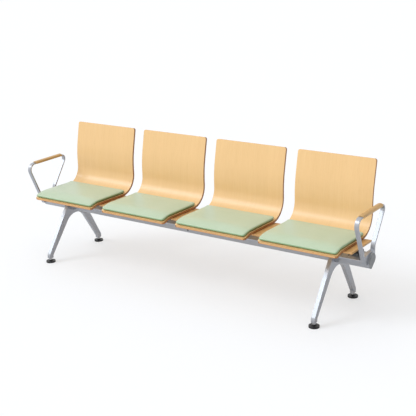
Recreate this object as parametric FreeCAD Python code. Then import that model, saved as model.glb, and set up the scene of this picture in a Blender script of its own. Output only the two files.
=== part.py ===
import FreeCAD, Part
import math
import os

Vector = FreeCAD.Vector

# Frame: X to the viewer's right, Y to the rear, Z up. The origin is on the floor, below the middle.
# All sizes are in millimetres and all angles in degrees.

# Envelope of the whole bench
overall_length = 2160.0
overall_depth = 480.0
overall_height = 750.0

# Moulded plywood shells
seat_count = 4
seat_gap = 71.0
end_margin = 62.0
shell_thickness = 12.0
seat_depth = 330.0
knee_height = 388.5
seat_slope = 1.2
lip_length = 52.0
lip_angle = 16.0
knee_radius = 60.0
bend_radius = 100.0
lumbar_rise = 183.5
lumbar_radius = 600.0
back_lean = 12.1
shell_corner_radius = 12.0

# Upholstered seat pads on their base boards
pad_side_margin = 4.0
pad_front_margin = 3.0
pad_length = 308.0
pad_side_height = 13.0
pad_crown = 7.0
pad_end_height = 7.0
pad_end_crown = 1.0
pad_end_run = 37.0
pad_tuck = 2.5
pad_shoulder = 4.5
pad_bulge_level = 0.45
pad_corner_cut = 7.0
base_thickness = 3.0
base_inset = 9.0
rest_gap = 0.3

# Extruded beam, a hollow section rounded by three arcs
beam_drop = 41.5
beam_height = 74.0
beam_axis_y = 3.0
crown_radius = 27.0
nose_radius = 9.0
nose_reach = 30.0
nose_drop = 11.0
toe_radius = 6.0
toe_setback = 18.0
beam_wall = 3.5
cap_thickness = 8.0
cap_edge_chamfer = 2.5
plug_length = 16.0

# Cast legs
leg_setback = 204.0
leg_thickness = 20.0
boss_width = 29.0
boss_height = 22.0
boss_tip_radius = 4.0
boss_outer_bend = 30.0
boss_inner_bend = 20.0
boss_inner_drop = 7.25
arch_radius = 95.0
arch_apex_y = 27.0
arch_apex_rise = 40.0
rear_knee_y = 146.0
rear_knee_drop = 73.0
rear_knee_radius = 150.0
head_front_cover = 5.0
head_rear_cover = 8.0
head_front_radius = 6.0
head_rear_radius = 5.0
leg_flange_width = 72.0
leg_flange_thickness = 9.0
leg_bolt_spacing = 46.0

# Levelling glides
glide_radius = 27.0
glide_height = 9.0
stem_length = 34.5
stem_reach = 20.0
stem_radius = 5.0
stem_clearance = 0.08
bore_depth = 22.0

# Cast carriers between the beam and what it bears
saddle_wall = 6.0
saddle_flat = 5.0
saddle_shoulder = 9.0
grip_drop = 19.0
flange_thickness = 4.0
web_thickness = 6.0
arm_tip_depth = 8.0
arm_neck = 12.0
arm_front = 44.0
arm_rear = 215.0
seat_arm_offset = 105.0
seat_flange_width = 36.0
board_flange_width = 32.0
board_saddle_width = 40.0

# Wooden boards between and beside the seats
board_thickness = 10.0
board_drop = 1.5
board_front = 32.0
board_rear = 254.0
board_overlap = 12.0
board_end_gap = 26.0
board_edge_chamfer = 1.5

# Armrests
armrest_end_gap = 4.0
bar_width = 22.0
bar_thickness = 8.0
armrest_rise = 168.5
arm_front_y = -160.0
arm_rear_y = 169.0
front_foot_y = -53.0
front_foot_rise = 25.0
rear_foot_y = 43.0
rear_foot_rise = 41.0
rear_kink_rise = 99.0
front_bend_radius = 36.0
rear_bend_radius = 24.0
kink_radius = 60.0
hub_front_rise = 72.0
rest_pad_width = 30.0
rest_pad_cover = 7.0
rest_pad_crown = 5.0
rest_pad_length = 218.0
rest_pad_front = -97.0
rest_pad_end_chamfer = 2.5

# Fasteners
bolt_radius = 5.0
bolt_clearance = 0.15
bolt_head_flats = 16.0
bolt_head_height = 6.4
bolt_engagement = 9.0

# Places that follow from the sizes above
beam_top = knee_height - beam_drop
beam_bottom = beam_top - beam_height
crown_z = beam_top - crown_radius
nose_z = crown_z - nose_drop
toe_z = beam_bottom + toe_radius
beam_end_x = overall_length / 2 - cap_thickness
foot_y = overall_depth / 2 - glide_radius
leg_x = overall_length / 2 - leg_setback
leg_bottom = glide_height + stem_length - stem_reach
armrest_outer_x = overall_length / 2 - cap_thickness - armrest_end_gap
armrest_inner_x = armrest_outer_x - bar_width
armrest_height = knee_height + armrest_rise
bar_axis_z = armrest_height - bar_thickness / 2
front_foot_z = beam_bottom + front_foot_rise
rear_foot_z = beam_bottom + rear_foot_rise
rear_kink_z = beam_bottom + rear_kink_rise
hub_front_z = beam_bottom + hub_front_rise
saddle_top = beam_top + saddle_flat
lean = math.radians(back_lean)
slope = math.radians(seat_slope)
lip = math.radians(lip_angle)
lumbar_height = knee_height + lumbar_rise
back_y = (overall_depth / 2 - shell_thickness * math.cos(lean)
          - (overall_height - lumbar_height) * math.tan(lean))
knee_y = back_y - seat_depth
seat_pitch = (overall_length - 2 * end_margin) / seat_count
shell_width = seat_pitch - seat_gap
seat_x = [(i - (seat_count - 1) / 2) * seat_pitch for i in range(seat_count)]

pieces = {}


# Profiles in the YZ plane

def turn(first, corner, last):
    """Twice the signed area of three points: positive where the path turns left."""
    ahead = (corner[0] - first[0], corner[1] - first[1])
    after = (last[0] - corner[0], last[1] - corner[1])
    return ahead[0] * after[1] - ahead[1] * after[0]


def shifted(corners, radii, distance):
    """An open path moved sideways, with its bends kept concentric; left of travel is positive."""
    normals = []
    for start, end in zip(corners, corners[1:]):
        length = math.hypot(end[0] - start[0], end[1] - start[1])
        normals.append(((start[1] - end[1]) / length, (end[0] - start[0]) / length))
    moved = []
    new_radii = []
    last = len(corners) - 1
    for i, (y, z) in enumerate(corners):
        before = normals[max(i - 1, 0)]
        after = normals[min(i, last - 1)]
        share = distance / (1 + before[0] * after[0] + before[1] * after[1])
        moved.append((y + (before[0] + after[0]) * share, z + (before[1] + after[1]) * share))
        if i in (0, last):
            new_radii.append(0.0)
        else:
            side = 1 if turn(corners[i - 1], corners[i], corners[i + 1]) > 0 else -1
            new_radii.append(radii[i] - side * distance)
    return moved, new_radii


def rounded_edges(corners, radii, closed=True):
    """Lines and tangent arcs along a path whose corners have the given radii."""
    points = [Vector(0, y, z) for y, z in corners]
    count = len(points)
    stops = []
    for i, corner in enumerate(points):
        if radii[i] == 0:
            stops.append((corner, None, corner))
            continue
        back = (points[i - 1] - corner).normalize()
        ahead = (points[(i + 1) % count] - corner).normalize()
        half = back.getAngle(ahead) / 2
        reach = radii[i] / math.tan(half)
        middle = corner + (back + ahead).normalize() * (radii[i] / math.sin(half) - radii[i])
        stops.append((corner + back * reach, middle, corner + ahead * reach))
    edges = []
    for i, (start, middle, end) in enumerate(stops):
        if middle is not None:
            edges.append(Part.Arc(start, middle, end).toShape())
        following = stops[(i + 1) % count][0]
        if (closed or i < count - 1) and (following - end).Length > 1e-6:
            edges.append(Part.LineSegment(end, following).toShape())
    return edges


def prism(corners, radii, x_low, x_high):
    """A closed rounded outline, extruded along X."""
    face = Part.Face(Part.Wire(rounded_edges(corners, radii)))
    face.translate(Vector(x_low, 0, 0))
    return face.extrude(Vector(x_high - x_low, 0, 0))


def sharp_prism(corners, x_low, x_high):
    return prism(corners, [0] * len(corners), x_low, x_high)


def strip(corners, radii, left, right, x_low, x_high):
    """The band between two parallels of an open path, extruded along X."""
    left_path, left_radii = shifted(corners, radii, left)
    right_path, right_radii = shifted(corners, radii, right)
    return prism(left_path + right_path[::-1], left_radii + right_radii[::-1], x_low, x_high)


def cylinder(radius, height, x, y, z, direction=Vector(0, 0, 1)):
    return Part.makeCylinder(radius, height, Vector(x, y, z), direction)


def hexagon(across_flats, height, base, direction):
    """A hexagonal prism, such as a bolt head or a nut, standing on base."""
    corner = across_flats / math.sqrt(3)
    ring = [Vector(corner * math.cos(i * math.pi / 3), corner * math.sin(i * math.pi / 3), 0)
            for i in range(7)]
    solid = Part.Face(Part.makePolygon(ring)).extrude(Vector(0, 0, height))
    solid.Placement = FreeCAD.Placement(base, FreeCAD.Rotation(Vector(0, 0, 1), direction))
    return solid


def outline_edges(solid, x_values):
    """The edges of a prism that lie wholly in one of the given X planes."""
    found = []
    for edge in solid.Edges:
        box = edge.BoundBox
        if box.XLength < 1e-6 and any(abs(box.XMin - x) < 1e-6 for x in x_values):
            found.append(edge)
    return found


# The beam's section: three arcs joined by tangent lines

def beam_circles(grow):
    return [(beam_axis_y - toe_setback, toe_z, toe_radius + grow),
            (beam_axis_y, crown_z, crown_radius + grow),
            (beam_axis_y - nose_reach, nose_z, nose_radius + grow)]


def outer_tangent(first, second):
    """End points and outward normal of the tangent on the right of travel."""
    along = Vector(0, second[0] - first[0], second[1] - first[1])
    length = along.Length
    along.normalize()
    rightward = Vector(0, along.z, -along.y)
    lift = (first[2] - second[2]) / length
    normal = along * lift + rightward * math.sqrt(1 - lift * lift)
    start = Vector(0, first[0], first[1]) + normal * first[2]
    end = Vector(0, second[0], second[1]) + normal * second[2]
    return start, end, normal


def beam_solid(grow, x_low, x_high):
    """The beam's outer section, or a parallel of it, extruded along X."""
    circles = beam_circles(grow)
    sides = [outer_tangent(circles[i], circles[(i + 1) % 3]) for i in range(3)]
    edges = []
    for i in range(3):
        y, z, radius = circles[i]
        normal_in = sides[i - 1][2]
        normal_out = sides[i][2]
        angle_in = math.atan2(normal_in.z, normal_in.y)
        angle_out = math.atan2(normal_out.z, normal_out.y)
        if angle_out < angle_in:
            angle_out += 2 * math.pi
        middle = (angle_in + angle_out) / 2
        top = Vector(0, y + radius * math.cos(middle), z + radius * math.sin(middle))
        edges.append(Part.Arc(sides[i - 1][1], top, sides[i][0]).toShape())
        edges.append(Part.LineSegment(sides[i][0], sides[i][1]).toShape())
    face = Part.Face(Part.Wire(edges))
    face.translate(Vector(x_low, 0, 0))
    return face.extrude(Vector(x_high - x_low, 0, 0))


# The seat line, and points measured along it and above it

def seat_point(along, above):
    y = knee_y + along * math.cos(slope) + above * math.sin(slope)
    z = knee_height - along * math.sin(slope) + above * math.cos(slope)
    return y, z


shell_path = [
    (knee_y - lip_length * math.cos(lip), knee_height - lip_length * math.sin(lip)),
    (knee_y, knee_height),
    (back_y, knee_height - seat_depth * math.tan(slope)),
    (back_y, lumbar_height),
    (back_y + (overall_height - lumbar_height) * math.tan(lean), overall_height),
]
shell_radii = [0, knee_radius, bend_radius, lumbar_radius, 0]


# Fasteners

bolts = {"seat_bracket_bolts": [], "leg_bolts": []}
beam_holes = []


def bolt(group, seat, inward, grip):
    """A hexagon bolt whose head rests on seat; grip is what it passes before the beam's inside."""
    length = grip + bolt_engagement
    head = hexagon(bolt_head_flats, bolt_head_height, seat, inward * -1)
    shank = Part.makeCylinder(bolt_radius, length, seat, inward)
    bolts[group].append(head.fuse(shank).removeSplitter())
    hole = Part.makeCylinder(bolt_radius + bolt_clearance, length, seat, inward)
    beam_holes.append(hole)
    return hole


# Carriers: a saddle on the beam with one or two arms that end in flanges

def carrier(x, saddle_width, arm_centres, flange_width, flange_shift, top):
    reach = crown_radius + saddle_wall
    grip_z = beam_top - grip_drop
    half_outline = [(reach, grip_z), (reach, saddle_top - saddle_shoulder),
                    (reach - saddle_shoulder, saddle_top)]
    outline = half_outline + [(-y, z) for y, z in half_outline[::-1]]
    body = sharp_prism([(beam_axis_y + y, z) for y, z in outline],
                       x - saddle_width / 2, x + saddle_width / 2)
    low = top - flange_thickness
    tip = low - arm_tip_depth
    for centre in arm_centres:
        arm_x = x + centre
        flange_x = arm_x - math.copysign(flange_shift, centre)
        flange = sharp_prism([seat_point(arm_front, top), seat_point(arm_rear, top),
                              seat_point(arm_rear, low), seat_point(arm_front, low)],
                             flange_x - flange_width / 2, flange_x + flange_width / 2)
        web = sharp_prism([seat_point(arm_front, low), seat_point(arm_rear, low),
                           seat_point(arm_rear, tip), (beam_axis_y + reach + arm_neck, saddle_top),
                           (beam_axis_y + reach, grip_z), (beam_axis_y - reach, grip_z),
                           (beam_axis_y - reach - arm_neck, saddle_top), seat_point(arm_front, tip)],
                          arm_x - web_thickness / 2, arm_x + web_thickness / 2)
        body = body.fuse(flange).fuse(web)
    return body.cut(beam_solid(0, x - saddle_width, x + saddle_width)).removeSplitter()


def make_seat(number, x):
    half = shell_width / 2
    shell = strip(shell_path, shell_radii, 0, -shell_thickness, x - half, x + half)
    corners = []
    for edge in shell.Edges:
        ends = [v.Point for v in edge.Vertexes]
        if len(ends) == 2 and abs((ends[0] - ends[1]).Length - shell_thickness) < 1e-3:
            if abs(ends[0].x - ends[1].x) < 1e-6:
                corners.append(edge)
    shell = shell.makeFillet(shell_corner_radius, corners)

    bracket = carrier(x, 2 * seat_arm_offset + web_thickness, (-seat_arm_offset, seat_arm_offset),
                      seat_flange_width, seat_flange_width / 2 - web_thickness, -shell_thickness)
    seat = Vector(x, beam_axis_y, saddle_top)
    hole = bolt("seat_bracket_bolts", seat, Vector(0, 0, -1), saddle_top - beam_top + beam_wall)
    pieces["seat_shell_%d" % number] = shell
    pieces["seat_bracket_%d" % number] = bracket.cut(hole)

    # The pad's base board is a thin bent sheet that lies on the shell, inside the pad's outline
    board = strip(shell_path, shell_radii, base_thickness, 0, x - half + pad_side_margin + base_inset,
                  x + half - pad_side_margin - base_inset)
    front_y = pad_station(base_inset)[0].y
    rear_y = pad_station(pad_length - base_inset)[0].y
    window = Part.makeBox(shell_width, rear_y - front_y, overall_height,
                          Vector(x - half, front_y, -overall_height / 2 + knee_height))
    pieces["pad_base_%d" % number] = lowest_solid(board.common(window))
    pieces["seat_pad_%d" % number] = make_pad(x)


def lowest_solid(shape):
    return min(shape.Solids, key=lambda s: s.BoundBox.ZMin)


shell_edges = rounded_edges(shell_path, shell_radii, closed=False)


def pad_station(distance):
    """A point on the shell's upper face, that far behind the pad's front, and the normal there."""
    remaining = distance + pad_front_margin
    for edge in shell_edges:
        if remaining <= edge.Length:
            break
        remaining -= edge.Length
    parameter = edge.getParameterByLength(remaining)
    tangent = edge.tangentAt(parameter)
    return edge.valueAt(parameter), Vector(0, -tangent.z, tangent.y)


def make_pad(x):
    """A crowned cushion with bulging sides, through sections that stand on the shell."""
    half = shell_width / 2 - pad_side_margin
    knee_run = knee_radius * math.tan((lip + slope) / 2)
    knee = lip_length - pad_front_margin
    distances = [0, pad_corner_cut, knee - knee_run, knee, knee + knee_run,
                 pad_length - pad_end_run, pad_length - pad_corner_cut, pad_length]
    sections = []
    for distance in distances:
        point, normal = pad_station(distance)
        foot = point + normal * (base_thickness + rest_gap)
        from_end = min(distance, pad_length - distance)
        width = half - max(pad_corner_cut - from_end, 0)
        fullness = math.sin(min(from_end / pad_end_run, 1) * math.pi / 2)
        side = pad_end_height + (pad_side_height - pad_end_height) * fullness
        crown = pad_end_crown + (pad_crown - pad_end_crown) * math.sqrt(2 * from_end / pad_length)

        def at(across, above):
            return foot + Vector(x + across, 0, 0) + normal * above

        low_left = at(pad_tuck - width, 0)
        low_right = at(width - pad_tuck, 0)
        high_left = at(pad_shoulder - width, side)
        high_right = at(width - pad_shoulder, side)
        sections.append(Part.Wire([
            Part.LineSegment(low_left, low_right).toShape(),
            Part.Arc(low_right, at(width, side * pad_bulge_level), high_right).toShape(),
            Part.Arc(high_right, at(0, side + crown), high_left).toShape(),
            Part.Arc(high_left, at(-width, side * pad_bulge_level), low_left).toShape(),
        ]))
    return Part.makeLoft(sections, True, True)


# Boards: one in each gap between seats and one outside each end seat

def make_boards():
    edge_x = shell_width / 2 - board_overlap
    spans = [(seat_x[i] + edge_x, seat_x[i + 1] - edge_x) for i in range(seat_count - 1)]
    names = ["spacer_board_%d" % (i + 1) for i in range(seat_count - 1)]
    end_x = armrest_inner_x - board_end_gap
    spans = [(-end_x, seat_x[0] - edge_x)] + spans + [(seat_x[-1] + edge_x, end_x)]
    names = ["end_board_left"] + names + ["end_board_right"]
    top = -shell_thickness - board_drop
    low = top - board_thickness
    for number, (name, (x_low, x_high)) in enumerate(zip(names, spans)):
        centre = (x_low + x_high) / 2
        board = sharp_prism([seat_point(board_front, top), seat_point(board_rear, top),
                             seat_point(board_rear, low), seat_point(board_front, low)], x_low, x_high)
        board = board.makeChamfer(board_edge_chamfer, board.Edges)
        pieces[name] = board
        pieces["board_bracket_%d" % (number + 1)] = carrier(
            centre, board_saddle_width, (0,), board_flange_width, 0, low)


# Armrests: a bent flat bar whose two posts meet in a hub that grips the beam

def make_armrest(side, word):
    x_low, x_high = sorted((side * armrest_inner_x, side * armrest_outer_x))
    middle = (x_low + x_high) / 2
    path = [(front_foot_y, front_foot_z), (arm_front_y, bar_axis_z), (arm_rear_y, bar_axis_z),
            (rear_foot_y, rear_kink_z), (rear_foot_y, rear_foot_z)]
    radii = [0, front_bend_radius, rear_bend_radius, kink_radius, 0]
    half = bar_thickness / 2
    bar = strip(path, radii, half, -half, x_low, x_high)
    post_slant = (arm_front_y - front_foot_y) / (bar_axis_z - front_foot_z)
    post_y = front_foot_y + (hub_front_z - front_foot_z) * post_slant
    hub = sharp_prism([(front_foot_y, front_foot_z), (beam_axis_y - nose_reach, front_foot_z),
                       (rear_foot_y, rear_foot_z), (rear_foot_y, saddle_top),
                       (beam_axis_y - crown_radius, saddle_top), (post_y, hub_front_z)],
                      x_low, x_high)
    frame = bar.fuse(hub).cut(beam_solid(0, x_low - 1, x_high + 1))

    # The wooden grip: upright sides that reach down beside the bar, and a crowned top
    half_pad = rest_pad_width / 2
    grip_low = armrest_height - bar_thickness
    grip_top = armrest_height + rest_pad_cover
    shoulder_z = grip_top - rest_pad_crown
    corners = [Vector(middle + across, rest_pad_front, z) for across, z in
               ((-half_pad, shoulder_z), (-half_pad, grip_low),
                (half_pad, grip_low), (half_pad, shoulder_z))]
    crown = Part.Arc(corners[3], Vector(middle, rest_pad_front, grip_top), corners[0]).toShape()
    section = Part.Wire(Part.makePolygon(corners).Edges + [crown])
    pad = Part.Face(section).extrude(Vector(0, rest_pad_length, 0))
    pad = pad.makeChamfer(rest_pad_end_chamfer, [e for e in pad.Edges if e.BoundBox.YLength < 1e-6])
    pieces["armrest_frame_" + word] = frame
    pieces["armrest_pad_" + word] = pad.cut(frame)


# Legs: an arched casting whose head cradles the beam, bolted through a flange under it

def make_leg(side, word):
    x = side * leg_x
    x_low = x - leg_thickness / 2
    x_high = x + leg_thickness / 2
    half_boss = boss_width / 2
    boss_top = leg_bottom + boss_height
    head_front_y = beam_axis_y - nose_reach - nose_radius - head_front_cover
    head_rear_y = beam_axis_y + crown_radius + head_rear_cover
    outline = [(-foot_y - half_boss, leg_bottom), (-foot_y - half_boss, boss_top),
               (head_front_y, nose_z), (beam_axis_y - nose_reach, crown_z), (head_rear_y, crown_z),
               (rear_knee_y, beam_bottom - rear_knee_drop), (foot_y + half_boss, boss_top),
               (foot_y + half_boss, leg_bottom), (foot_y - half_boss, leg_bottom),
               (foot_y - half_boss, boss_top - boss_inner_drop), (arch_apex_y, beam_bottom + arch_apex_rise),
               (half_boss - foot_y, boss_top - boss_inner_drop), (half_boss - foot_y, leg_bottom)]
    radii = [boss_tip_radius, boss_outer_bend, head_front_radius, 0, head_rear_radius, rear_knee_radius,
             boss_outer_bend, boss_tip_radius, boss_tip_radius, boss_inner_bend, arch_radius,
             boss_inner_bend, boss_tip_radius]
    plate = prism(outline, radii, x_low, x_high)

    start, end, normal = outer_tangent(*beam_circles(0)[:2])
    inside = start - normal * toe_radius
    inside_end = end - normal * toe_radius
    outside = start + normal * leg_flange_thickness
    outside_end = end + normal * leg_flange_thickness
    flange = sharp_prism([(inside.y, inside.z), (inside_end.y, inside_end.z),
                          (outside_end.y, outside_end.z), (outside.y, outside.z)],
                         x - leg_flange_width / 2, x + leg_flange_width / 2)
    leg = plate.fuse(flange).cut(beam_solid(0, x - leg_flange_width, x + leg_flange_width))
    centre = (outside + outside_end) * 0.5
    for offset in (-leg_bolt_spacing / 2, leg_bolt_spacing / 2):
        seat = centre + Vector(x + offset, 0, 0)
        hole = bolt("leg_bolts", seat, normal * -1, leg_flange_thickness + beam_wall)
        leg = leg.cut(hole)
    for end_y, place in ((-foot_y, "front"), (foot_y, "rear")):
        bore = cylinder(stem_radius + stem_clearance, bore_depth, x, end_y, leg_bottom)
        leg = leg.cut(bore)
        make_glide(x, end_y, place + "_" + word)
    pieces["leg_" + word] = leg.removeSplitter()


# Levelling glides: a plastic foot on a steel stem that slides in the leg's bore

def make_glide(x, y, word):
    pieces["glide_foot_" + word] = cylinder(glide_radius, glide_height, x, y, 0)
    pieces["glide_stem_" + word] = cylinder(stem_radius, stem_length, x, y, glide_height)


# Beam and its end caps

def make_beam():
    beam = beam_solid(0, -beam_end_x, beam_end_x).cut(
        beam_solid(-beam_wall, -beam_end_x - 1, beam_end_x + 1))
    for hole in beam_holes:
        beam = beam.cut(hole)
    pieces["beam"] = beam
    for side, word in ((-1, "left"), (1, "right")):
        x_low, x_high = sorted((side * beam_end_x, side * (beam_end_x + cap_thickness)))
        cap = beam_solid(0, x_low, x_high)
        cap = cap.makeChamfer(cap_edge_chamfer, outline_edges(cap, (side * (beam_end_x + cap_thickness),)))
        plug_low, plug_high = sorted((side * beam_end_x, side * (beam_end_x - plug_length)))
        plug = sharp_prism([(y, z) for y, z, radius in beam_circles(0)], plug_low, plug_high)
        pieces["beam_end_cap_" + word] = cap.fuse(plug)


for index, centre_x in enumerate(seat_x):
    make_seat(index + 1, centre_x)
make_boards()
for direction, name in ((-1, "left"), (1, "right")):
    make_leg(direction, name)
    make_armrest(direction, name)
make_beam()
for name, solids in bolts.items():
    pieces[name] = Part.makeCompound(solids)

os.makedirs("parts", exist_ok=True)
for name, shape in pieces.items():
    shape.exportStep("parts/%s.step" % name)
    print("%s: %d solid(s), valid %s" % (name, len(shape.Solids), shape.isValid()))
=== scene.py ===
import math

import bmesh
import bpy
from mathutils import Matrix, Vector


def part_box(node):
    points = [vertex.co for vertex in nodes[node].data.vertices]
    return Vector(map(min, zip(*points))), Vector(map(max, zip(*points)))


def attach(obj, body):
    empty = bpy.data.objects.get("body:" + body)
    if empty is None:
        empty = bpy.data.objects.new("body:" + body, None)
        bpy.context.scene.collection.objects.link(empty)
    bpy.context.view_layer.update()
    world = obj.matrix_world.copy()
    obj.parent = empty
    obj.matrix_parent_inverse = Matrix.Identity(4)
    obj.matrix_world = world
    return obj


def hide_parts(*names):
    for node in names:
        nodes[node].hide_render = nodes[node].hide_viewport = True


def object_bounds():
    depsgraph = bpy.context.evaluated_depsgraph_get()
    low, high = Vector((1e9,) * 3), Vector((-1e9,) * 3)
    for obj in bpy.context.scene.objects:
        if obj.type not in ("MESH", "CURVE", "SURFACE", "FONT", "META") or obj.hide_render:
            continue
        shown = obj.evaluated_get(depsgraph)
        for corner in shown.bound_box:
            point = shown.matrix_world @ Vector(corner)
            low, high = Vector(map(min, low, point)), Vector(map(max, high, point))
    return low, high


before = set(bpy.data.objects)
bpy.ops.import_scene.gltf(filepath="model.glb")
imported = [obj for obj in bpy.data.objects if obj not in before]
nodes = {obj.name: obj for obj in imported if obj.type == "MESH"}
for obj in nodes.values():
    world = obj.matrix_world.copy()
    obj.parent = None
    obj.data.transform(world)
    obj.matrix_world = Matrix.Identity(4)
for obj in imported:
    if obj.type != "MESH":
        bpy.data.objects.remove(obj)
cad_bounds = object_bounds()

# Places and lengths are in metres, and a point in YZ is a Vector of two

# The camera, fitted to the photo: angles in degrees, sensor and lens in millimetres
camera_place = Vector((2.719, -3.683, 1.858))
camera_yaw = 35.18
camera_pitch = 17.61
camera_roll = -1.92
sensor_width = 36.0
focal_length = 76.59

# The shells, as the CAD has them
seat_count = 4
shell_thickness = 0.012
lip_angle = math.radians(16.0)
lip_length = 0.052
knee_radius = 0.060
bend_radius = 0.100
lumbar_radius = 0.600
seat_slope = math.radians(1.2)
seat_depth = 0.330
knee_height = 0.3885
lumbar_height = 0.572
back_lean = math.radians(12.1)
shell_corner = 0.012

# The shells' mesh: the layers' borders are shares of the thickness, from the upper face down
# The dark plies are wider than the ply's own darker layers: partly painted shade along the edges.
ply_shares = [0.0, 0.07, 0.24, 0.76, 0.93, 1.0]
shell_columns = 24
shell_rows = 96
corner_turns = (0, 15, 30, 45, 60, 75, 90)
shell_edge_round = 0.0011

# The cushions: flat pattern, rounding, and how the cover lies over the knee
pad_front_margin = 0.003
pad_length = 0.308
pad_side_growth = 0.001
pad_seat = 0.0033
pad_ease = 0.022
pad_ease_heights = (0.006, 0.014)
pad_height = 0.0145
pad_corner = 0.016
pad_rim_height = 0.005
pad_upper_roll = 0.007
pad_lower_roll = 0.004
pad_edge_insets = [0.0, 0.002, 0.005, 0.009, 0.014, 0.020]
pad_step = 0.011
# Heights over which the painted shade at the cushion's rim fades out
rim_shade_heights = (0.005, 0.015)

# The cover's cloth step
cloth_voxel = 0.006
cloth_pressure = 0.35
cloth_frames = 20
cloth_held_height = 0.0012
cloth_move_limit = 0.009

# The small fasteners
fastener_gap = 0.0001
flange_thickness = 0.004
shell_screw_side = 0.081
shell_screws_along = (0.062, 0.195)
board_screw_side = 0.0095
board_screws_along = (0.060, 0.200)
board_underside_drop = 0.0235
armrest_screw_inset = 0.045
nut_height = 0.0075
nut_corner_radius = 0.0098
nut_face_radius = nut_corner_radius * 0.93
nut_chamfer = 0.0007
plug_x = 0.003

# The beam's nose and toe: centres in YZ and radii
nose_centre = Vector((-0.027, 0.309))
nose_radius = 0.009
toe_centre = Vector((-0.015, 0.279))
toe_radius = 0.006

# Floor and light: angles in degrees
floor_reach = 40.0
floor_glow = 1.1
floor_glow_share = 0.38
key_azimuth = -50.0
key_elevation = 44.0
key_strength = 0.95
key_size = 26.0
key_colour = (0.84, 0.92, 1.0)
studio_strength = 1.17
studio_dark_side = 0.14
studio_bright_direction = Vector((-0.75, -0.35, 0.55)).normalized()
studio_fade = (-0.7, 0.6)


# Small helpers

white = (1.0, 1.0, 1.0, 1.0)
even_space = (1.0, 1.0, 1.0)


def linear(red, green, blue):
    """Screen values from 0 to 255, as the linear colour that a shader takes."""
    values = [value / 255 for value in (red, green, blue)]
    return tuple(v / 12.92 if v <= 0.04045 else ((v + 0.055) / 1.055) ** 2.4
                 for v in values) + (1.0,)


def dimmed(colour, share):
    return tuple(value * share for value in colour[:3]) + (1.0,)


def middle(name):
    """The middle of a node's box, in X and Y."""
    low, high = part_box(name)
    return (low[0] + high[0]) / 2, (low[1] + high[1]) / 2


def new_object(name, mesh):
    made = bpy.data.objects.new(name, mesh)
    bpy.context.scene.collection.objects.link(made)
    return made


def mesh_object(name, vertices, faces, materials=(), indices=None, smooth=True):
    mesh = bpy.data.meshes.new(name)
    mesh.from_pydata([tuple(v) for v in vertices], [], faces)
    for material in materials:
        mesh.materials.append(material)
    if indices:
        mesh.polygons.foreach_set("material_index", indices)
    mesh.polygons.foreach_set("use_smooth", [smooth] * len(mesh.polygons))
    mesh.validate()
    return new_object(name, mesh)


def tidy_normals(piece):
    work = bmesh.new()
    work.from_mesh(piece.data)
    bmesh.ops.recalc_face_normals(work, faces=work.faces)
    work.to_mesh(piece.data)
    work.free()


def soften(piece, width, segments=3, limit=35.0, weld=False):
    """Rounds the sharp edges of a piece with modifiers."""
    if weld:
        joined = piece.modifiers.new("join faces", "WELD")
        joined.merge_threshold = 0.00002
    bevel = piece.modifiers.new("round edges", "BEVEL")
    bevel.width = width
    bevel.segments = segments
    bevel.limit_method = "ANGLE"
    bevel.angle_limit = math.radians(limit)
    piece.modifiers.new("even normals", "WEIGHTED_NORMAL").keep_sharp = True


# Shader nodes that the materials share

def shader(name, colour, roughness, metallic=0.0, coat=0.0, coat_roughness=0.2,
           specular=0.5, sheen=0.0):
    material = bpy.data.materials.new(name)
    material.use_nodes = True
    tree = material.node_tree
    surface = tree.nodes["Principled BSDF"]
    surface.inputs["Base Color"].default_value = colour
    surface.inputs["Roughness"].default_value = roughness
    surface.inputs["Metallic"].default_value = metallic
    surface.inputs["Coat Weight"].default_value = coat
    surface.inputs["Coat Roughness"].default_value = coat_roughness
    surface.inputs["Specular IOR Level"].default_value = specular
    surface.inputs["Sheen Weight"].default_value = sheen
    return material, tree, surface


def texture_space(tree, scale):
    place = tree.nodes.new("ShaderNodeTexCoord")
    mapping = tree.nodes.new("ShaderNodeMapping")
    mapping.inputs["Scale"].default_value = scale
    tree.links.new(place.outputs["Object"], mapping.inputs["Vector"])
    return mapping.outputs["Vector"]


def noise(tree, space, scale, detail, roughness=0.5):
    node = tree.nodes.new("ShaderNodeTexNoise")
    node.inputs["Scale"].default_value = scale
    node.inputs["Detail"].default_value = detail
    node.inputs["Roughness"].default_value = roughness
    tree.links.new(space, node.inputs["Vector"])
    return node.outputs["Fac"]


def ramp(tree, factor, low, high):
    """A colour that runs from one (position, colour) pair to another."""
    node = tree.nodes.new("ShaderNodeValToRGB")
    first, last = node.color_ramp.elements
    first.position, first.color = low
    last.position, last.color = high
    tree.links.new(factor, node.inputs["Fac"])
    return node.outputs["Color"]


def bump(tree, surface, height, strength, distance):
    node = tree.nodes.new("ShaderNodeBump")
    node.inputs["Strength"].default_value = strength
    node.inputs["Distance"].default_value = distance
    tree.links.new(height, node.inputs["Height"])
    tree.links.new(node.outputs["Normal"], surface.inputs["Normal"])


def rough_spread(tree, surface, factor, low, high):
    """Roughness that varies a little over the surface."""
    spread = tree.nodes.new("ShaderNodeMapRange")
    spread.inputs["To Min"].default_value = low
    spread.inputs["To Max"].default_value = high
    tree.links.new(factor, spread.inputs["Value"])
    tree.links.new(spread.outputs["Result"], surface.inputs["Roughness"])


def mixed(tree, factor, first, second):
    """The second colour where the factor is one."""
    node = tree.nodes.new("ShaderNodeMix")
    node.data_type = "RGBA"
    tree.links.new(factor, node.inputs["Factor"])
    tree.links.new(first, node.inputs["A"])
    tree.links.new(second, node.inputs["B"])
    return node.outputs["Result"]


def multiplied(tree, first, second):
    node = tree.nodes.new("ShaderNodeMix")
    node.data_type = "RGBA"
    node.blend_type = "MULTIPLY"
    node.inputs["Factor"].default_value = 1.0
    tree.links.new(first, node.inputs["A"])
    tree.links.new(second, node.inputs["B"])
    return node.outputs["Result"]


# Materials

board_grain = (150.0, 3.0, 3.0)
edge_grain = (8.0, 8.0, 90.0)
grip_grain = (40.0, 3.0, 40.0)
band_width = 9
pore_fineness = 3.2


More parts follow.
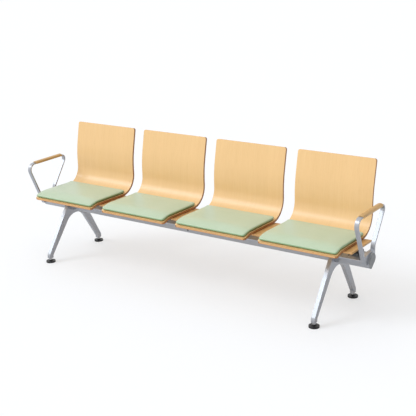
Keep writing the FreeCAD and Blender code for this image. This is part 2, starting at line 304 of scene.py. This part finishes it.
def veneer(name, dark, light, grain=board_grain, roughness=0.42, coat=0.25, coat_roughness=0.3):
    """Fine straight grain along the long direction, with wider bands and short pores."""
    dark, light = linear(*dark), linear(*light)
    material, tree, surface = shader(name, light, roughness, coat=coat,
                                     coat_roughness=coat_roughness)
    streaks = noise(tree, texture_space(tree, grain), 1.6, 6.0, 0.62)
    tone = ramp(tree, streaks, (0.25, dark), (0.78, light))
    bands = noise(tree, texture_space(tree, [value / band_width for value in grain]), 1.3, 2.0)
    band_tone = ramp(tree, bands, (0.3, (0.975, 0.97, 0.96, 1.0)), (0.7, white))
    pores = noise(tree, texture_space(tree, [value * pore_fineness for value in grain]), 1.7, 2.0)
    pore_tone = ramp(tree, pores, (0.30, (0.93, 0.91, 0.87, 1.0)), (0.42, white))
    tone = multiplied(tree, multiplied(tree, tone, band_tone), pore_tone)
    tree.links.new(tone, surface.inputs["Base Color"])
    rough_spread(tree, surface, streaks, roughness - 0.05, roughness + 0.07)
    bump(tree, surface, streaks, 0.05, 0.0003)
    return material


def ply(name, dark, light):
    """A layer that shows at an edge: bare, with level grain."""
    return veneer(name, dark, light, edge_grain, 0.6, 0.0)


def painted_metal(name, colour, roughness, metallic=0.8):
    """Painted or plated metal: a fine flake and a faint uneven skin."""
    material, tree, surface = shader(name, colour, roughness, metallic=metallic)
    space = texture_space(tree, even_space)
    flakes = noise(tree, space, 1400.0, 2.0)
    tone = ramp(tree, flakes, (0.35, dimmed(colour, 0.93)), (0.65, colour))
    tree.links.new(tone, surface.inputs["Base Color"])
    skin = noise(tree, space, 260.0, 3.0)
    rough_spread(tree, surface, skin, roughness - 0.04, roughness + 0.05)
    bump(tree, surface, skin, 0.06, 0.0002)
    return material


def moulded_plastic(name, colour, roughness):
    """Fine matt grain with slight unevenness of tone."""
    material, tree, surface = shader(name, colour, roughness)
    space = texture_space(tree, even_space)
    cloud = noise(tree, space, 60.0, 3.0)
    tone = ramp(tree, cloud, (0.3, dimmed(colour, 0.85)), (0.7, colour))
    tree.links.new(tone, surface.inputs["Base Color"])
    grain = noise(tree, space, 1100.0, 2.0)
    rough_spread(tree, surface, cloud, roughness - 0.05, roughness + 0.06)
    bump(tree, surface, grain, 0.10, 0.0003)
    return material


def cover_material():
    """Sage artificial leather with a pebbled grain; the darker green round the rim is painted
    shade.
    """
    material, tree, surface = shader("sage cover", linear(181, 199, 168), 0.45, coat=0.35,
                                     coat_roughness=0.35, sheen=0.2)
    space = texture_space(tree, even_space)
    soft = noise(tree, space, 9.0, 3.0)
    pale = ramp(tree, soft, (0.25, linear(178, 197, 165)), (0.75, linear(184, 201, 172)))
    # Painted shade: a darker, more saturated green where the cover turns down at the rim.
    rim_shade = ramp(tree, soft, (0.25, linear(104, 152, 84)), (0.75, linear(112, 158, 92)))
    rim = tree.nodes.new("ShaderNodeAttribute")
    rim.attribute_name = "rim"
    tone = mixed(tree, rim.outputs["Fac"], pale, rim_shade)
    pebbles = tree.nodes.new("ShaderNodeTexVoronoi")
    pebbles.feature = "DISTANCE_TO_EDGE"
    pebbles.inputs["Scale"].default_value = 620.0
    tree.links.new(space, pebbles.inputs["Vector"])
    valleys = ramp(tree, pebbles.outputs["Distance"], (0.0, (0.90, 0.91, 0.88, 1.0)), (0.12, white))
    tree.links.new(multiplied(tree, tone, valleys), surface.inputs["Base Color"])
    rough_spread(tree, surface, soft, 0.34, 0.44)
    bump(tree, surface, pebbles.outputs["Distance"], 0.10, 0.0004)
    return material


face_veneer = veneer("shell veneer", (235, 191, 129), (240, 199, 140), coat=0.45,
                     coat_roughness=0.25)
ply_light = ply("ply light layer", (222, 172, 112), (240, 194, 136))
# The dark plies are the ply's own darker layers, drawn wider so that they also carry painted shade
# along the edge under the cushion.
dark_ply_and_shade = ply("ply dark layer and painted shade", (176, 104, 48), (196, 124, 62))
# The side edges' plies are darker copies of the front plies: painted shade, as on edges turned away
# from the light.
shaded_side_ply = ply("ply side layer in painted shade", (176, 112, 58), (196, 132, 74))
shaded_side_dark_ply = ply("ply side dark layer in painted shade", (84, 40, 14), (104, 52, 20))
board_veneer = veneer("board veneer", (200, 152, 92), (212, 166, 106))
rest_wood = veneer("armrest wood", (182, 138, 78), (214, 174, 112), grip_grain, 0.45, 0.2)
pad_board = veneer("pad board", (120, 84, 50), (140, 100, 62))
silver = painted_metal("silver paint", linear(173, 175, 180), 0.34)
# The board brackets' dark grey is painted shade for the space under the boards.
painted_shade_grey = painted_metal("bracket grey in painted shade", linear(78, 78, 78), 0.45, 0.3)
zinc = painted_metal("zinc plate", linear(200, 200, 202), 0.28, 0.95)
black_plastic = moulded_plastic("black plastic", linear(20, 21, 24), 0.42)
cap_plastic = moulded_plastic("cap plastic", linear(140, 141, 142), 0.5)
vinyl = cover_material()


# The shell's upper face as a path of lines and arcs in YZ

back_top = Vector((cad_bounds[1][1] - shell_thickness * math.cos(back_lean), cad_bounds[1][2]))
back_y = back_top.x - (cad_bounds[1][2] - lumbar_height) * math.tan(back_lean)
knee = Vector((back_y - seat_depth, knee_height))
shell_corners = [
    knee - lip_length * Vector((math.cos(lip_angle), math.sin(lip_angle))),
    knee,
    Vector((back_y, knee_height - seat_depth * math.tan(seat_slope))),
    Vector((back_y, lumbar_height)),
    back_top,
]
shell_radii = [0, knee_radius, bend_radius, lumbar_radius, 0]
path_step = math.radians(2.0)


def rounded_path(corners, radii, step):
    """Points along lines and tangent arcs; bends get one point for each step of angle."""
    points = [corners[0].copy()]
    for i in range(1, len(corners) - 1):
        corner = corners[i]
        back = (corners[i - 1] - corner).normalized()
        ahead = (corners[i + 1] - corner).normalized()
        half = back.angle(ahead) / 2
        reach = radii[i] / math.tan(half)
        start = corner + back * reach
        end = corner + ahead * reach
        centre = corner + (back + ahead).normalized() * (radii[i] / math.sin(half))
        sweep = math.pi - 2 * half
        count = max(2, int(math.ceil(sweep / step)))
        first = start - centre
        side = 1 if first.x * (end - centre).y - first.y * (end - centre).x > 0 else -1
        for k in range(count + 1):
            angle = side * sweep * k / count
            cosine, sine = math.cos(angle), math.sin(angle)
            points.append(centre + Vector((first.x * cosine - first.y * sine,
                                           first.x * sine + first.y * cosine)))
    points.append(corners[-1].copy())
    return points


fine_path = rounded_path(shell_corners, shell_radii, path_step)
path_lengths = [0.0]
for near, far in zip(fine_path, fine_path[1:]):
    path_lengths.append(path_lengths[-1] + (far - near).length)
shell_length = path_lengths[-1]


def path_tangent(index):
    low = max(index - 1, 0)
    high = min(index + 1, len(fine_path) - 1)
    return (fine_path[high] - fine_path[low]).normalized()


def on_shell(distance):
    """The point of the upper face at that distance from the lip, and the normal there, in YZ."""
    distance = min(max(distance, 0.0), shell_length)
    k = 0
    while k < len(path_lengths) - 2 and path_lengths[k + 1] < distance:
        k += 1
    share = (distance - path_lengths[k]) / (path_lengths[k + 1] - path_lengths[k])
    point = fine_path[k].lerp(fine_path[k + 1], share)
    along = path_tangent(k).lerp(path_tangent(k + 1), share).normalized()
    return point, Vector((-along.y, along.x))


def bent(across, distance, height):
    """A point of the flat pattern, bent into the shell's shape; height is above the upper face."""
    point, normal = on_shell(distance)
    placed = point + normal * height
    return Vector((across, placed.x, placed.y))


def seat_line(along, above):
    """A point on the seat's straight line behind the knee, in YZ."""
    return Vector((knee.x + along * math.cos(seat_slope) + above * math.sin(seat_slope),
                   knee.y - along * math.sin(seat_slope) + above * math.cos(seat_slope)))


# Shells: a flat plate with rounded corners, its edges cut into plies, then bent

# Slots three and four, on the shells' side edges, hold the plies in painted shade.
shell_materials = [face_veneer, ply_light, dark_ply_and_shade, shaded_side_ply, shaded_side_dark_ply]
face_slot = 0
front_slot = 1
shaded_side_slot = 3
plies = len(ply_shares) - 1


def shell_distances():
    """Distances along the path, close together where the corners are rounded."""
    turns = [shell_corner * (1 - math.cos(math.radians(angle))) for angle in corner_turns]
    straight = shell_length - 2 * shell_corner
    inner = [shell_corner + straight * k / shell_rows for k in range(1, shell_rows)]
    return turns + inner + [shell_length - turn for turn in turns[::-1]]


def shell_ring(vertices, centre, half, distance):
    """Adds the points round the plate at one distance: top, right edge, bottom, left edge."""
    end = min(distance, shell_length - distance)
    inset = 0.0
    if end < shell_corner:
        inset = shell_corner - math.sqrt(shell_corner ** 2 - (shell_corner - end) ** 2)
    width = half - inset
    across = [-width + 2 * width * k / shell_columns for k in range(shell_columns + 1)]
    back = [width - 2 * width * k / shell_columns for k in range(shell_columns + 1)]
    places = [(x, 0.0) for x in across]
    places += [(width, -share * shell_thickness) for share in ply_shares[1:-1]]
    places += [(x, -shell_thickness) for x in back]
    places += [(-width, -share * shell_thickness) for share in ply_shares[-2:0:-1]]
    first = len(vertices)
    vertices.extend(bent(centre + x, distance, height) for x, height in places)
    return list(range(first, len(vertices)))


def strip_slot(k):
    """The material slot of the k-th strip round the plate."""
    if k < shell_columns or shell_columns + plies <= k < 2 * shell_columns + plies:
        return face_slot
    if k < shell_columns + plies:
        return shaded_side_slot + (k - shell_columns) % 2
    return shaded_side_slot + (2 * shell_columns + 2 * plies - 1 - k) % 2


def close_end(vertices, faces, slots, ring, centre, half, distance):
    """Fills the front or top edge with one row of faces for each ply."""
    grid = [ring[:shell_columns + 1]]
    straight = half - shell_corner
    for row in range(1, plies):
        line = [ring[-row]]
        for k in range(1, shell_columns):
            across = -half + shell_corner + 2 * straight * k / shell_columns
            line.append(len(vertices))
            vertices.append(bent(centre + across, distance, -ply_shares[row] * shell_thickness))
        line.append(ring[shell_columns + row])
        grid.append(line)
    grid.append([ring[2 * shell_columns + plies - k] for k in range(shell_columns + 1)])
    for row in range(plies):
        for k in range(shell_columns):
            square = (grid[row][k], grid[row + 1][k], grid[row + 1][k + 1], grid[row][k + 1])
            faces.append(square if distance == 0.0 else square[::-1])
            slots.append(front_slot + row % 2)


def make_shell(number):
    node = nodes["seat_shell_%d" % number]
    low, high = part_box(node.name)
    centre = (low[0] + high[0]) / 2
    half = (high[0] - low[0]) / 2
    vertices = []
    faces = []
    slots = []
    rings = [shell_ring(vertices, centre, half, distance) for distance in shell_distances()]
    count = len(rings[0])
    for first, second in zip(rings, rings[1:]):
        for k in range(count):
            after = (k + 1) % count
            faces.append((first[k], first[after], second[after], second[k]))
            slots.append(strip_slot(k))
    close_end(vertices, faces, slots, rings[0], centre, half, 0.0)
    close_end(vertices, faces, slots, rings[-1], centre, half, shell_length)
    shell = mesh_object("veneer_shell_%d" % number, vertices, faces, shell_materials, slots)
    tidy_normals(shell)
    soften(shell, shell_edge_round)
    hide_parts(node.name)
    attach(shell, "bench")


# Cushions: a slab in flat pattern, swelled as cloth, then bent on to the shell

def edge_to_edge(half):
    """Places from one edge of the slab to the other, close together near the edges."""
    inner_half = half - pad_edge_insets[-1]
    count = round(2 * inner_half / pad_step)
    inner = [2 * inner_half * k / count - inner_half for k in range(1, count)]
    return ([inset - half for inset in pad_edge_insets] + inner
            + [half - inset for inset in pad_edge_insets[::-1]])


def rounded_corner(x, y, half_width, half_length):
    """Draws a point in on to the rounded outline; gives its place and distance inside."""
    side = half_width - pad_corner
    end = half_length - pad_corner
    out_x = max(abs(x) - side, 0.0)
    out_y = max(abs(y) - end, 0.0)
    if out_x == 0 or out_y == 0:
        return x, y, min(half_width - abs(x), half_length - abs(y))
    reach = max(out_x, out_y)
    scale = reach / math.hypot(out_x, out_y)
    return (math.copysign(side + out_x * scale, x), math.copysign(end + out_y * scale, y),
            pad_corner - reach)


def quarter_round(inside, roll):
    """Rises from nothing at the edge to one at the roll's width, as a quarter circle does."""
    return math.sqrt(max(1 - (1 - min(inside / roll, 1.0)) ** 2, 0.0))


def cushion_slab(half_width, half_length):
    """A closed slab with rounded corners; its upper and lower faces meet at the rim."""
    vertices = []
    top = []
    low = []
    for y in edge_to_edge(half_length):
        top.append([])
        low.append([])
        for x in edge_to_edge(half_width):
            across, along, inside = rounded_corner(x, y, half_width, half_length)
            crown = (pad_height - pad_rim_height) * quarter_round(inside, pad_upper_roll)
            top[-1].append(len(vertices))
            vertices.append((across, along, pad_rim_height + crown))
            if inside > 1e-9:
                under = pad_rim_height * (1 - quarter_round(inside, pad_lower_roll))
                low[-1].append(len(vertices))
                vertices.append((across, along, under))
            else:
                low[-1].append(top[-1][-1])
    faces = []
    for j in range(len(top) - 1):
        for k in range(len(top[0]) - 1):
            faces.append((top[j][k], top[j][k + 1], top[j + 1][k + 1], top[j + 1][k]))
            faces.append((low[j][k], low[j + 1][k], low[j + 1][k + 1], low[j][k + 1]))
    return mesh_object("cushion_pattern", vertices, faces)


def apply_modifiers(piece):
    """Replaces the piece's mesh by what its modifiers make of it."""
    graph = bpy.context.evaluated_depsgraph_get()
    result = bpy.data.meshes.new_from_object(piece.evaluated_get(graph))
    piece.modifiers.clear()
    piece.data = result


def swell(slab):
    """Remeshes the slab and blows it up slightly as cloth whose underside is held."""
    remesh = slab.modifiers.new("even mesh", "REMESH")
    remesh.mode = "VOXEL"
    remesh.voxel_size = cloth_voxel
    apply_modifiers(slab)
    start = [vertex.co.copy() for vertex in slab.data.vertices]
    held = slab.vertex_groups.new(name="held")
    low = [i for i, place in enumerate(start) if place.z < cloth_held_height]
    held.add(low, 1.0, "REPLACE")
    cloth = slab.modifiers.new("cover", "CLOTH")
    cloth.settings.quality = 6
    cloth.settings.mass = 0.3
    cloth.settings.tension_stiffness = 40
    cloth.settings.compression_stiffness = 40
    cloth.settings.shear_stiffness = 5
    cloth.settings.bending_stiffness = 5.0
    cloth.settings.use_pressure = True
    cloth.settings.uniform_pressure_force = cloth_pressure
    cloth.settings.vertex_group_mass = held.name
    cloth.settings.effector_weights.gravity = 0
    cloth.collision_settings.use_collision = False
    cloth.point_cache.frame_start = 1
    cloth.point_cache.frame_end = cloth_frames
    for number in range(1, cloth_frames + 1):
        bpy.context.scene.frame_set(number)
    apply_modifiers(slab)
    for vertex, place in zip(slab.data.vertices, start):
        move = vertex.co - place
        if move.length > cloth_move_limit:
            vertex.co = place + move * (cloth_move_limit / move.length)
        vertex.co.z = max(vertex.co.z, 0.0)
    bpy.context.scene.frame_set(1)


def raised(height, low, high):
    """Goes smoothly from nothing at the low height to one at the high one."""
    share = min(max((height - low) / (high - low), 0.0), 1.0)
    return share * share * (3 - 2 * share)


def draped(across, distance, height):
    """Bent on to the shell, the upper side with an easier turn at the knee, as foam gives it."""
    reach = min(pad_ease, max(distance, 0.0))
    here = bent(across, distance, height + pad_seat)
    before = bent(across, distance - reach, height + pad_seat)
    after = bent(across, distance + reach, height + pad_seat)
    return here.lerp((before + here + after) / 3, raised(height, *pad_ease_heights))


def make_cushions():
    low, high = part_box("seat_pad_1")
    slab = cushion_slab((high[0] - low[0]) / 2 + pad_side_growth, pad_length / 2)
    swell(slab)
    pattern = [vertex.co.copy() for vertex in slab.data.vertices]
    faces = [tuple(polygon.vertices) for polygon in slab.data.polygons]
    bpy.data.objects.remove(slab)
    along = pad_front_margin + pad_length / 2
    # Weights of the painted shade at the rim, from each point's height in the slab
    rim_shade = [1 - raised(place.z, *rim_shade_heights) for place in pattern]
    for number in range(1, seat_count + 1):
        centre = middle("seat_pad_%d" % number)[0]
        placed = [draped(centre + place.x, along + place.y, place.z) for place in pattern]
        cushion = mesh_object("cushion_%d" % number, placed, faces, [vinyl])
        cushion.data.attributes.new("rim", "FLOAT", "POINT").data.foreach_set("value", rim_shade)
        tidy_normals(cushion)
        smooth = cushion.modifiers.new("smooth cover", "SUBSURF")
        smooth.levels = 1
        smooth.render_levels = 1
        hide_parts("seat_pad_%d" % number)
        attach(cushion, "bench")


# Small fasteners, each a profile of (radius, height) pairs turned about an axis

screw_profile = [(0.0042, 0.0), (0.0042, 0.0007), (0.0038, 0.0017), (0.0028, 0.0025),
                 (0.0019, 0.0028), (0.0018, 0.0012)]
plug_profile = [(0.0052, 0.0), (0.0052, 0.0004), (0.0046, 0.0010), (0.0028, 0.0014)]
nut_outline = [(nut_face_radius, 0.0), (nut_corner_radius, nut_chamfer),
               (nut_corner_radius, nut_height - nut_chamfer), (nut_face_radius, nut_height)]
hub_outline = [(0.0150, 0.0), (0.0138, 0.0012), (0.0100, 0.0026), (0.0078, 0.0036)]
hub_height = 0.0040
upwards = (0, 0, 1)
downwards = (0, 0, -1)


def turned(profile, place, axis, sides=20, closed=True):
    """The vertices and faces of a profile that stands at place, along axis."""
    aim = Vector(upwards).rotation_difference(Vector(axis))
    vertices = []
    for radius, height in profile:
        for k in range(sides):
            angle = 2 * math.pi * k / sides
            point = Vector((radius * math.cos(angle), radius * math.sin(angle), height))
            vertices.append(Vector(place) + aim @ point)
    faces = []
    for start in range(0, (len(profile) - 1) * sides, sides):
        for k in range(sides):
            after = (k + 1) % sides
            faces.append((start + k, start + after, start + sides + after, start + sides + k))
    if closed:
        faces.append(tuple(range(sides))[::-1])
        faces.append(tuple(range(len(vertices) - sides, len(vertices))))
    return vertices, faces


def pierced(outline, radius, height):
    """Closes an outline round a bore, as a profile for turning."""
    return [(radius, 0.0)] + outline + [(radius, height), (radius, 0.0)]


def fastener_set(name, solids, material, body, bevel=0.0003):
    """One piece from a list of turned solids."""
    vertices = []
    faces = []
    for points, corners in solids:
        first = len(vertices)
        vertices += points
        faces += [tuple(first + k for k in face) for face in corners]
    piece = mesh_object(name, vertices, faces, [material])
    tidy_normals(piece)
    soften(piece, bevel, 2, 30.0)
    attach(piece, body)


def flange_screws(nodes_with_flanges, drop, side_step, distances):
    """Screws up through the flanges, whose underside is that far below the shells' upper face."""
    down = (0, -math.sin(seat_slope), -math.cos(seat_slope))
    solids = []
    for name in nodes_with_flanges:
        centre = middle(name)[0]
        for side in (-1, 1):
            for along in distances:
                place = seat_line(along, -drop - fastener_gap)
                x = centre + side * side_step
                solids.append(turned(screw_profile, (x, place.x, place.y), down))
    return solids


def make_screws():
    """Screws under the shells, under the boards and under each armrest pad."""
    seat_brackets = ["seat_bracket_%d" % number for number in range(1, seat_count + 1)]
    solids = flange_screws(seat_brackets, shell_thickness + flange_thickness,
                           shell_screw_side, shell_screws_along)
    fastener_set("shell_screws", solids, zinc, "bench")
    board_brackets = ["board_bracket_%d" % number for number in range(1, seat_count + 2)]
    solids = flange_screws(board_brackets, board_underside_drop + flange_thickness,
                           board_screw_side, board_screws_along)
    fastener_set("board_screws", solids, zinc, "bench")
    for word in ("left", "right"):
        low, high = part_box("armrest_pad_" + word)
        x = (low[0] + high[0]) / 2
        solids = [turned(screw_profile, (x, y, low[2] - fastener_gap), downwards)
                  for y in (low[1] + armrest_screw_inset, high[1] - armrest_screw_inset)]
        fastener_set("armrest_screws_" + word, solids, zinc, "bench")


def make_glide_parts():
    """A lock nut under each leg's end and a domed hub on each foot."""
    for end in ("front_left", "rear_left", "front_right", "rear_right"):
        low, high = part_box("glide_stem_" + end)
        x, y = middle("glide_stem_" + end)
        bore = (high[0] - low[0]) / 2 + fastener_gap
        leg_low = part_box("leg_" + end.split("_")[1])[0][2]
        place = (x, y, leg_low - nut_height - fastener_gap)
        nut = turned(pierced(nut_outline, bore, nut_height), place, upwards, 6, False)
        fastener_set("lock_nut_" + end, [nut], zinc, "bench")
        foot_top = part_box("glide_foot_" + end)[1][2]
        place = (x, y, foot_top + fastener_gap)
        hub = turned(pierced(hub_outline, bore, hub_height), place, upwards, 32, False)
        fastener_set("glide_hub_" + end, [hub], black_plastic, "glide_" + end)


def make_beam_plug():
    """The small dark plug in the middle of the beam's front flank."""
    along = (toe_centre - nose_centre).normalized()
    outward = Vector((along.y, -along.x))
    tilt = (nose_radius - toe_radius) / (toe_centre - nose_centre).length
    normal = (outward * math.sqrt(1 - tilt * tilt) + along * tilt).normalized()
    start = nose_centre + normal * nose_radius
    end = toe_centre + normal * toe_radius
    place = start.lerp(end, 0.5)
    plug = turned(plug_profile, (plug_x, place.x, place.y), (0, normal.x, normal.y), 24)
    fastener_set("beam_plug", [plug], black_plastic, "bench", 0.0001)


for index in range(1, seat_count + 1):
    make_shell(index)
make_cushions()
make_screws()
make_glide_parts()
make_beam_plug()


# The finish of the nodes that are carried over: start of the name, material, edge, segments

finishes = [
    ("leg_bolts", zinc, 0.0, 2),
    ("seat_bracket_bolts", zinc, 0.0, 2),
    ("glide_stem", zinc, 0.0, 2),
    ("glide_foot", black_plastic, 0.002, 3),
    ("leg_", silver, 0.0022, 3),
    ("armrest_frame", silver, 0.0014, 3),
    ("armrest_pad", rest_wood, 0.002, 3),
    ("beam_end_cap", cap_plastic, 0.0008, 2),
    ("beam", silver, 0.0, 2),
    # The board brackets' dark grey is painted shade.
    ("board_bracket", painted_shade_grey, 0.0008, 2),
    ("seat_bracket", silver, 0.0008, 2),
    ("spacer_board", board_veneer, 0.001, 2),
    ("end_board", board_veneer, 0.001, 2),
    ("pad_base", pad_board, 0.0, 2),
]


def finish_node(node, material, width, segments):
    node.data.materials.clear()
    node.data.materials.append(material)
    if width:
        soften(node, width, segments, weld=True)


for name, node in nodes.items():
    for start, *finish in finishes:
        if name.startswith(start):
            finish_node(node, *finish)
            break


# Floor, light and camera

def make_floor():
    """Paper that also glows a little towards the camera, so that it is nearly white there."""
    corners = [(-floor_reach, -floor_reach, 0), (floor_reach, -floor_reach, 0),
               (floor_reach, floor_reach, 0), (-floor_reach, floor_reach, 0)]
    floor = mesh_object("floor", corners, [(0, 1, 2, 3)], smooth=False)
    material, tree, surface = shader("floor paper", (0.84, 0.85, 0.87, 1.0), 0.9, specular=0.1)
    glow = tree.nodes.new("ShaderNodeEmission")
    glow.inputs["Color"].default_value = white
    glow.inputs["Strength"].default_value = floor_glow
    rays = tree.nodes.new("ShaderNodeLightPath")
    share = tree.nodes.new("ShaderNodeMath")
    share.operation = "MULTIPLY"
    share.inputs[1].default_value = floor_glow_share
    mix = tree.nodes.new("ShaderNodeMixShader")
    tree.links.new(rays.outputs["Is Camera Ray"], share.inputs[0])
    tree.links.new(share.outputs["Value"], mix.inputs["Fac"])
    tree.links.new(surface.outputs["BSDF"], mix.inputs[1])
    tree.links.new(glow.outputs["Emission"], mix.inputs[2])
    tree.links.new(mix.outputs["Shader"], tree.nodes["Material Output"].inputs["Surface"])
    floor.data.materials.append(material)


def make_key_light():
    """A wide sun from the front left."""
    data = bpy.data.lights.new("key light", "SUN")
    data.color = key_colour
    data.energy = key_strength
    data.angle = math.radians(key_size)
    lamp = new_object("key light", data)
    azimuth, elevation = math.radians(key_azimuth), math.radians(key_elevation)
    towards = Vector((math.cos(elevation) * math.sin(azimuth),
                      -math.cos(elevation) * math.cos(azimuth),
                      math.sin(elevation)))
    lamp.rotation_mode = "QUATERNION"
    lamp.rotation_quaternion = towards.to_track_quat("Z", "Y")


def make_world():
    """An even studio, darker on the side that the light doesn't come from, and plain behind."""
    world = bpy.data.worlds.new("studio")
    world.use_nodes = True
    tree = world.node_tree
    background = tree.nodes["Background"]
    place = tree.nodes.new("ShaderNodeTexCoord")
    facing = tree.nodes.new("ShaderNodeVectorMath")
    facing.operation = "DOT_PRODUCT"
    facing.inputs[1].default_value = studio_bright_direction
    spread = tree.nodes.new("ShaderNodeMapRange")
    spread.inputs["From Min"].default_value, spread.inputs["From Max"].default_value = studio_fade
    tree.links.new(place.outputs["Generated"], facing.inputs[0])
    tree.links.new(facing.outputs["Value"], spread.inputs["Value"])
    tone = ramp(tree, spread.outputs["Result"], (0.0, dimmed(white, studio_dark_side)),
                (1.0, white))
    tree.links.new(tone, background.inputs["Color"])
    background.inputs["Strength"].default_value = studio_strength
    plain = tree.nodes.new("ShaderNodeBackground")
    plain.inputs["Color"].default_value = white
    rays = tree.nodes.new("ShaderNodeLightPath")
    choice = tree.nodes.new("ShaderNodeMixShader")
    tree.links.new(rays.outputs["Is Camera Ray"], choice.inputs["Fac"])
    tree.links.new(background.outputs["Background"], choice.inputs[1])
    tree.links.new(plain.outputs["Background"], choice.inputs[2])
    tree.links.new(choice.outputs["Shader"], tree.nodes["World Output"].inputs["Surface"])
    bpy.context.scene.world = world


def make_camera():
    data = bpy.data.cameras.new("camera")
    data.sensor_width = sensor_width
    data.lens = focal_length
    data.clip_end = 100.0
    camera = new_object("camera", data)
    yaw, pitch, roll = (math.radians(a) for a in (camera_yaw, camera_pitch, camera_roll))
    forward = Vector((-math.sin(yaw) * math.cos(pitch),
                      math.cos(yaw) * math.cos(pitch),
                      -math.sin(pitch)))
    level = Vector((math.cos(yaw), math.sin(yaw), 0.0))
    upright = level.cross(forward)
    right = level * math.cos(roll) + upright * math.sin(roll)
    up = upright * math.cos(roll) - level * math.sin(roll)
    aim = Matrix((right, up, -forward)).transposed().to_4x4()
    camera.matrix_world = Matrix.Translation(camera_place) @ aim
    bpy.context.scene.camera = camera


make_floor()
make_key_light()
make_world()
make_camera()
bpy.context.scene.view_settings.view_transform = "Standard"
